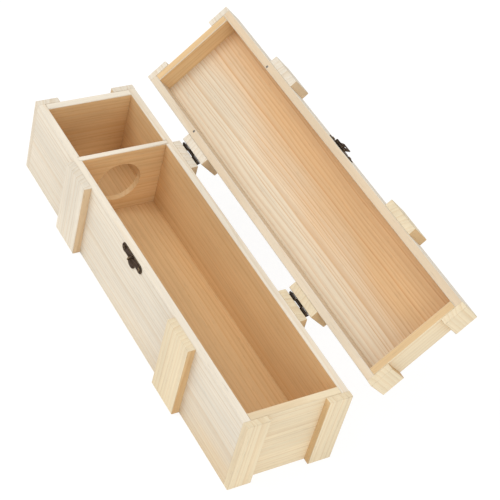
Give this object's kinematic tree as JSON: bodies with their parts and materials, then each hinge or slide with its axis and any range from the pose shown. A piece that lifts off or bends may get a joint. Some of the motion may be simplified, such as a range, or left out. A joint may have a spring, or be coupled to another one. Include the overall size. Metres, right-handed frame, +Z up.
{
  "type": "wine box",
  "caption": "Long pine box for one wine bottle: divider bored for the neck, outside battens, and a hinged tray lid with a hasp, standing open.",
  "frame": {"origin": "middle of the underside of the box body, on the surface that it stands on", "axes": "+X along the box towards its near end, away from the neck compartment; +Y across it towards the hinges, with the hasp side at -Y; +Z up"},
  "size_m": [0.384, 0.2035, 0.151],
  "materials": {
    "pine": "matte",
    "antique_bronze": "satin",
    "steel_brad": "satin"
  },
  "bodies": {
    "root": {"back_batten_far": "pine", "back_batten_near": "pine", "back_wall": "pine", "bottom_panel": "pine", "catch_plate": "antique_bronze", "catch_screws": "antique_bronze", "catch_staple": "antique_bronze", "divider": "pine", "far_end_batten_back": "pine", "far_end_batten_front": "pine", "far_end_panel": "pine", "front_batten_far": "pine", "front_batten_near": "pine", "front_wall": "pine", "hinge_leaf_body_far": "antique_bronze", "hinge_leaf_body_near": "antique_bronze", "hinge_pin_far": "antique_bronze", "hinge_pin_near": "antique_bronze", "hinge_screws_body": "antique_bronze", "near_end_batten_back": "pine", "near_end_batten_front": "pine", "near_end_panel": "pine"},
    "lid": {"hasp_pin": "antique_bronze", "hasp_plate": "antique_bronze", "hasp_screws": "antique_bronze", "hinge_leaf_lid_far": "antique_bronze", "hinge_leaf_lid_near": "antique_bronze", "hinge_screws_lid": "antique_bronze", "lid_back_batten_far": "pine", "lid_back_batten_near": "pine", "lid_back_rail": "pine", "lid_brads": "steel_brad", "lid_far_batten_back": "pine", "lid_far_batten_front": "pine", "lid_far_rail": "pine", "lid_front_batten_far": "pine", "lid_front_batten_near": "pine", "lid_front_rail": "pine", "lid_near_batten_back": "pine", "lid_near_batten_front": "pine", "lid_near_rail": "pine", "lid_panel": "pine"},
    "hasp": {"hasp_tongue": "antique_bronze"}
  },
  "joints": [
    {"name": "lid_hinge", "type": "hinge", "parent": "root", "child": "lid", "pos_m": [0, 0.0554, 0.07415], "axis": [1, 0, 0], "range_deg": [0, 135]},
    {"name": "hasp_hinge", "type": "hinge", "parent": "lid", "child": "hasp", "pos_m": [0.003, 0.13042, 0.14684], "axis": [1, 0, 0], "range_deg": [0, 160]}
  ]
}
